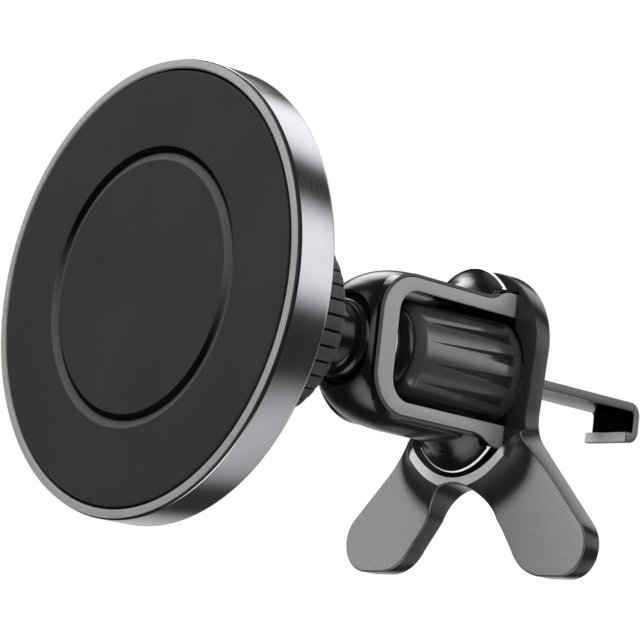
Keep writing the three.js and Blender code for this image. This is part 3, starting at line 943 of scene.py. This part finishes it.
def even_spacing(loop, step):
    """The closed loop again, with points about one step apart."""
    result = []
    for i, point in enumerate(loop):
        here, there = Vector(point), Vector(loop[(i + 1) % len(loop)])
        pieces = max(1, round((there - here).length / step))
        result += [tuple(here.lerp(there, k / pieces)) for k in range(pieces)]
    spaced = [result[0]]
    for point in result[1:]:
        if (Vector(point) - Vector(spaced[-1])).length > step * 0.3:
            spaced.append(point)
    return spaced


SKIRT = {"inner": 14.9, "outer": 16.3, "slope_end": 24.0, "rise": 2.6, "half_angle": 62, "fade_angle": 28,
         "narrowing": 1.22}


def skirt_reach(x, z):
    """Distance from the axis, measured on ovals that are narrower than they are tall."""
    return math.hypot(x * SKIRT["narrowing"], z)


def stand_rise(x, z):
    """How far the front of the stand stands proud of its flat legs."""
    radius = skirt_reach(x, z)
    from_below = abs(math.degrees(math.atan2(x, -z)))
    low_side = smooth((SKIRT["half_angle"] - from_below) / SKIRT["fade_angle"])
    if radius < SKIRT["inner"]:
        return 0.0
    if radius <= SKIRT["outer"]:
        return SKIRT["rise"] * low_side
    slope = (radius - SKIRT["outer"]) / (SKIRT["slope_end"] - SKIRT["outer"])
    return SKIRT["rise"] * low_side * max(0.0, 1 - slope) ** 2


def fill(outline, inner_lines, spacing):
    """Triangles inside an outline, with extra points on a grid and along the inner lines."""
    points = [Vector(p) for p in outline]
    count = len(points)
    edges = [(k, (k + 1) % count) for k in range(count)]
    for line in inner_lines:
        start = len(points)
        points += [Vector(p) for p in line]
        edges += [(start + k, start + k + 1) for k in range(len(line) - 1)]
    xs, zs = [p[0] for p in outline], [p[1] for p in outline]
    columns = int((max(xs) - min(xs)) / spacing)
    rows = int((max(zs) - min(zs)) / spacing)
    for i in range(1, columns):
        for j in range(1, rows):
            shift = 0.5 * (j % 2)
            spot = Vector((min(xs) + (i + shift) * spacing, min(zs) + j * spacing))
            if clearance(spot, outline) > spacing * 0.6 and clear_of_rings(spot):
                points.append(spot)
    verts, _, faces, *_ = delaunay_2d_cdt(points, edges, [], 1, 1e-5)
    return verts, faces


def clearance(spot, outline):
    """Distance to the outline; negative outside it."""
    nearest, inside = 1e9, False
    for k, point in enumerate(outline):
        a, b = outline[k - 1], point
        along = Vector(b) - Vector(a)
        t = max(0.0, min(1.0, (spot - Vector(a)).dot(along) / along.length_squared))
        nearest = min(nearest, (spot - Vector(a) - along * t).length)
        if (a[1] > spot.y) != (b[1] > spot.y):
            if spot.x < a[0] + (spot.y - a[1]) * (b[0] - a[0]) / (b[1] - a[1]):
                inside = not inside
    return nearest if inside else -nearest


def clear_of_rings(spot):
    return all(abs(skirt_reach(*spot) - SKIRT[key]) > 0.3 for key in ("inner", "outer"))


def ring_line(radius, outline):
    """The part of one of the skirt's ovals that lies inside the lower outline."""
    line = [(x / SKIRT["narrowing"], z) for x, z in arc((0, 0), radius, -165, -15, 120)]
    runs, run = [], []
    for point in line:
        if clearance(Vector(point), outline) > 0.12:
            run.append(point)
        elif run:
            runs.append(run)
            run = []
    if run:
        runs.append(run)
    return [r for r in runs if len(r) > 2]


def stand_face_mesh(inner, lines, front):
    """The front of the stand: flat legs and the raised skirt."""
    flat_points, flat_faces = fill(inner, lines, 0.75)
    points = [(p.x, front - stand_rise(p.x, p.y), p.y) for p in flat_points]
    return make_object("stand_front", points, [tuple(f) for f in flat_faces])


def stand_side_mesh(inner, outline, front, back, cut_edge):
    """The stand's rounded front edge, side, rounded rear edge and flat back."""
    def ring(share, height):
        return [(lerp(a[0], b[0], share), height(a), lerp(a[1], b[1], share))
                for a, b in zip(inner, outline)]

    rings = [[(x, front - stand_rise(x, z), z) for x, z in inner]]
    for k in range(1, 5):
        angle = math.radians(90 * k / 4)
        inset, drop = cut_edge * (1 - math.sin(angle)), cut_edge * (1 - math.cos(angle))
        rings.append(ring(1 - inset / cut_edge, lambda a: front - stand_rise(*a) + drop))
    rings.append([(x, back - cut_edge, z) for x, z in outline])
    for k in range(1, 4):
        angle = math.radians(90 * k / 3)
        rings.append(ring(math.cos(angle), lambda a: back - cut_edge * (1 - math.sin(angle))))
    count = len(inner)
    starts = range(0, len(rings) * count, count)
    faces = skinned([range(start, start + count) for start in starts], closed=False)
    faces.append(tuple(range(starts[-1], starts[-1] + count)))
    return make_object("stand_side", [p for ring_points in rings for p in ring_points], faces)


def build_stand():
    back = node_box("leg_stand")[1].y
    front = back - 3.0  # face of the legs, from which the skirt rises
    cut_edge = 0.28
    outline = stand_outline()
    inner = grown(outline, -cut_edge)
    lines = []
    for radius in (SKIRT["inner"] - 0.03, SKIRT["inner"] + 0.03, SKIRT["outer"]):
        lines += ring_line(radius, inner)
    stand = stand_face_mesh(inner, lines, front)
    side = stand_side_mesh(inner, outline, front, back, cut_edge)
    joined = bmesh.new()
    joined.from_mesh(stand.data)
    joined.from_mesh(side.data)
    bmesh.ops.remove_doubles(joined, verts=joined.verts, dist=2e-6)
    bmesh.ops.recalc_face_normals(joined, faces=joined.faces)
    joined.to_mesh(stand.data)
    joined.free()
    bpy.data.objects.remove(side)
    stand.name = "stand"
    slot_half, slot_thick = 4.2, 0.95
    ahead, pocket_floor = front - 4, back - 1.2
    near, far, panel_reach = 5.2, 6.4, 11.1
    tools = [
        block("slot", (-slot_half, ahead, -slot_thick), (slot_half, back + 1, slot_thick)),
        bore("wheel_pocket", 8.8, ahead, pocket_floor, 96),
        block("panel_pocket_left", (-far, ahead, -panel_reach), (-near, pocket_floor, panel_reach)),
        block("panel_pocket_right", (near, ahead, -panel_reach), (far, pocket_floor, panel_reach)),
    ]
    head_seat = back - 1.2
    tools += screw_bores([(0, ahead), (1.1, ahead), (1.1, head_seat), (2.0, head_seat),
                          (2.0, back + 1), (0, back + 1)], 40)
    cut(stand, *tools)
    finish_piece(stand, LOOKS["stand_gloss"], "grip", ["leg_stand"])

    # the skirt ring below the axis takes the lighter copy: painted light
    def part(spot, normal):
        reach = skirt_reach(spot.x, spot.z)
        if normal.y > -0.35 or reach < SKIRT["inner"]:
            return 0
        return 2 if reach < SKIRT["outer"] and spot.z < -6 else 1

    paint(stand, ("stand_face", "stand_rim"), part)


def build_stand_screws():
    for index in (1, 2):
        node = f"stand_screw_{index}"
        low, high = node_box(node)
        tip, top = low.y, high.y
        middle = (low.z + high.z) / 2
        under = top - 1.0
        profile = rounded([(0, tip, 0), (0.6, tip + 0.3, 0.2), (0.9, tip + 0.8, 0.2), (0.9, under, 0),
                           (1.8, under, 0.1), (1.8, top - 0.3, 0.25), (0.8, top, 0.6), (0, top, 0)])
        screw = turned(f"screw_{index}", profile, 48)
        reach, thin = 1.05, 0.2
        cross = [block("cross", (-w, top - 0.6, -h), (w, top + 1, h))
                 for w, h in ((reach, thin), (thin, reach))]
        cut(screw, *cross)
        screw.data.transform(Matrix.Translation((0, 0, middle * MM)))
        finish_piece(screw, LOOKS["screw_steel"], "grip", [node])


def build_foot_pads():
    for name in ("right", "left"):
        node = f"foot_pad_{name}"
        low, high = node_box(node)
        centre_x, centre_z = (low.x + high.x) / 2, (low.z + high.z) / 2
        radius, base, face = (high.x - low.x) / 2, low.y, high.y
        profile = [(0, base, 0), (radius, base, 0.1), (radius, face - 0.1, 0.3), (radius - 0.5, face, 0.1)]
        for r in (2.2, 1.0):
            profile += [(r + 0.3, face, 0.06), (r, face - 0.25, 0.08), (r - 0.3, face, 0.06)]
        profile.append((0, face, 0))
        pad = turned(f"foot_{name}", rounded(profile, steps=3), 96)
        pad.data.transform(Matrix.Translation((centre_x * MM, 0, centre_z * MM)))
        finish_piece(pad, LOOKS["foot_rubber"], "grip", [node])


# ---- hook ----
def build_hook():
    low, high = node_box("vent_hook")
    half_width, front, back, top, bottom = high.x, low.y, high.y, high.z, low.z
    thick = top * 2
    bend, lip_thick = 1.9, 1.5
    lip_front = back - 2.7
    inner_bend = bend - thick
    face = back - thick
    outline = [(front, -top), (front, top)]
    outline += arc((back - bend, top - bend), bend, 90, 0, 10)
    outline += arc((back - bend, bottom + bend), bend, 0, -90, 10)
    outline += [(lip_front, bottom), (lip_front, bottom + lip_thick), (face, bottom + lip_thick)]
    outline += arc((face - inner_bend, -top - inner_bend), inner_bend, 0, 90, 6)
    hook = prism("hook", outline, low.x, high.x, "X")
    bevel(hook, 0.12, 3)
    deep, long, pitch = 0.35, 0.9, 2.0
    notches = []
    y = front + 1.0
    while y < front + 8.5:
        for edge in (-half_width, half_width):
            notches.append(block("notch", (edge - deep, y, -1), (edge + deep, y + long, 1)))
        y += pitch
    cut(hook, *notches)
    finish_piece(hook, LOOKS["hook_steel"], "hook", ["vent_hook"])

    # the lip's end face takes the light grey copy: a painted reflection
    def part(spot, normal):
        if normal.y < -0.9 and abs(spot.y - lip_front) < 0.2:
            return 1
        return 2 if abs(normal.x) < 0.5 else 0

    paint(hook, ("lip_face", "hook_polish"), part)


# ---- inner nodes that keep their CAD shape ----
def paint_remaining_nodes(kept):
    for entry in frame["record"]["subparts"]:
        node = entry["node"]
        if node not in kept:
            continue
        obj = bpy.data.objects[node]
        obj.data.materials.clear()
        obj.data.materials.append(LOOKS[entry["material_slot"]])
        for face in obj.data.polygons:
            face.material_index = 0


# ---- studio ----
def build_floor():
    """A wide pale floor, well below the object, which is shown as held in the air."""
    height, half = -0.12, 6.0
    bpy.ops.mesh.primitive_plane_add(size=2 * half, location=(0, 0, height))
    floor = bpy.context.object
    floor.name = "floor"
    look = Look("pale_floor", specular=0.2)
    cloud = look.noise(look.place, 3.0, 3.0)
    look.colour(look.mix(look.spread(cloud, 0, 1), grey(0.80), grey(0.84)))
    look.put(look.shader, Roughness=0.9)
    floor.data.materials.append(look.material)
    floor.visible_glossy = False


BASE_LIGHT = 0.05
# soft strips behind the object: centre and half width in degrees round Y, and brightness
STRIPS = ((-73, 40, 0.8), (25, 32, 1.6), (98, 29, 1.8), (-165, 30, 0.6))
# soft round patches: direction, half width in degrees, and brightness
PATCHES = (
    ((0.05, -0.25, -1.0), 34, 2.6),
    ((-0.61, 0.32, 0.73), 21, 4.0),
    ((-0.3, -0.75, 0.9), 26, 1.2),
)


def build_world():
    """White behind the object; for its reflections, a dark studio with soft strips."""
    world = bpy.data.worlds.new("studio")
    bpy.context.scene.world = world
    world.use_nodes = True
    world.node_tree.nodes.clear()
    graph = Graph(world.node_tree)
    direction = graph.add("ShaderNodeTexCoord").outputs["Generated"]
    split = graph.add("ShaderNodeSeparateXYZ")
    graph.link(direction, split.inputs[0])
    x, y, z = split.outputs
    across = graph.math("SQRT", graph.math("MAXIMUM", graph.squares(x, z), 1e-6))
    behind = graph.spread(y, 0, 1, 0.1, 0.5, "SMOOTHSTEP")
    total = BASE_LIGHT
    for centre, half, brightness in STRIPS:
        turn = math.radians(centre)
        along_x = graph.math("MULTIPLY", x, math.cos(turn))
        along_z = graph.math("MULTIPLY", z, math.sin(turn))
        facing = graph.math("DIVIDE", graph.math("ADD", along_x, along_z), across)
        strip = graph.spread(facing, 0, brightness, math.cos(math.radians(half)), 1, "SMOOTHSTEP")
        total = graph.math("ADD", graph.math("MULTIPLY", strip, behind), total)
    for towards, half, brightness in PATCHES:
        dot = graph.add("ShaderNodeVectorMath", operation="DOT_PRODUCT")
        graph.link(direction, dot.inputs[0])
        dot.inputs[1].default_value = Vector(towards).normalized()
        edge = math.cos(math.radians(half))
        patch = graph.spread(dot.outputs["Value"], 0, brightness, edge, 1, "SMOOTHSTEP")
        total = graph.math("ADD", patch, total)
    dim = graph.add("ShaderNodeBackground")
    graph.put(dim, Color=(1.0, 1.0, 1.02, 1))
    graph.link(total, dim.inputs["Strength"])
    seen = graph.add("ShaderNodeBackground")
    graph.put(seen, Color=(1, 1, 1, 1))
    mix = graph.add("ShaderNodeMixShader")
    graph.link(graph.add("ShaderNodeLightPath").outputs["Is Camera Ray"], mix.inputs[0])
    graph.link(dim.outputs[0], mix.inputs[1])
    graph.link(seen.outputs[0], mix.inputs[2])
    graph.link(mix.outputs[0], graph.add("ShaderNodeOutputWorld").inputs[0])


LAMP_DISTANCE = 0.4
# name, direction from the object, width of the square lamp in metres, and power in watts
LAMPS = (("key", (-0.3, -0.75, 1.1), 0.25, 2.5), ("side", (0.9, -0.25, 0.8), 0.3, 1.5))


def softbox(name, direction, width, power, target):
    """A square area lamp that looks at the target from a direction."""
    lamp = bpy.data.lights.new(name, "AREA")
    lamp.shape = "RECTANGLE"
    lamp.size, lamp.size_y = width, width
    lamp.energy = power
    obj = bpy.data.objects.new(name, lamp)
    bpy.context.scene.collection.objects.link(obj)
    away = Vector(direction).normalized()
    obj.location = target + away * LAMP_DISTANCE
    obj.rotation_mode = "QUATERNION"
    obj.rotation_quaternion = away.to_track_quat("Z", "Y")
    obj.visible_camera = False
    obj.visible_glossy = False


def build_lights(target):
    for name, direction, width, power in LAMPS:
        softbox(name, direction, width, power, target)


def build_camera():
    """A long lens from the right, below and slightly rolled."""
    azimuth, elevation, roll = (math.radians(v) for v in (48.66, -9.51, 6.39))
    lens, distance = 152.7, 0.3346
    aim = Vector((14.64, 17.25, -1.63)) * MM
    back = Vector((math.sin(azimuth) * math.cos(elevation), -math.cos(azimuth) * math.cos(elevation),
                   math.sin(elevation)))
    right = Vector((math.cos(azimuth), math.sin(azimuth), 0))
    up = back.cross(right)
    rolled_right = right * math.cos(roll) + up * math.sin(roll)
    rolled_up = up * math.cos(roll) - right * math.sin(roll)
    data = bpy.data.cameras.new("camera")
    data.lens = lens
    data.sensor_width = 36.0
    camera = bpy.data.objects.new("camera", data)
    bpy.context.scene.collection.objects.link(camera)
    turn = Matrix((rolled_right, rolled_up, back)).transposed().to_4x4()
    camera.matrix_world = Matrix.Translation(aim + back * distance) @ turn
    bpy.context.scene.camera = camera


build_camera()
build_bezel()
build_pad()
build_back_cover()
build_socket()
build_nut()
build_stud()
build_housing()
build_side_panels()
build_wheel()
build_collar()
build_stand()
build_stand_screws()
build_foot_pads()
build_hook()
REPLACED = {
    "bezel_ring", "phone_pad", "back_cover", "ball_socket", "collar_nut", "ball_stud", "housing",
    "side_panel_right", "side_panel_left", "thumb_wheel", "wheel_collar", "leg_stand",
    "stand_screw_1", "stand_screw_2", "foot_pad_right", "foot_pad_left", "vent_hook",
}
paint_remaining_nodes({e["node"] for e in frame["record"]["subparts"]} - REPLACED)

middle = (Vector(cad_low) + Vector(cad_high)) / 2
build_floor()
build_world()
build_lights(middle)
bpy.context.scene.view_settings.view_transform = "Standard"
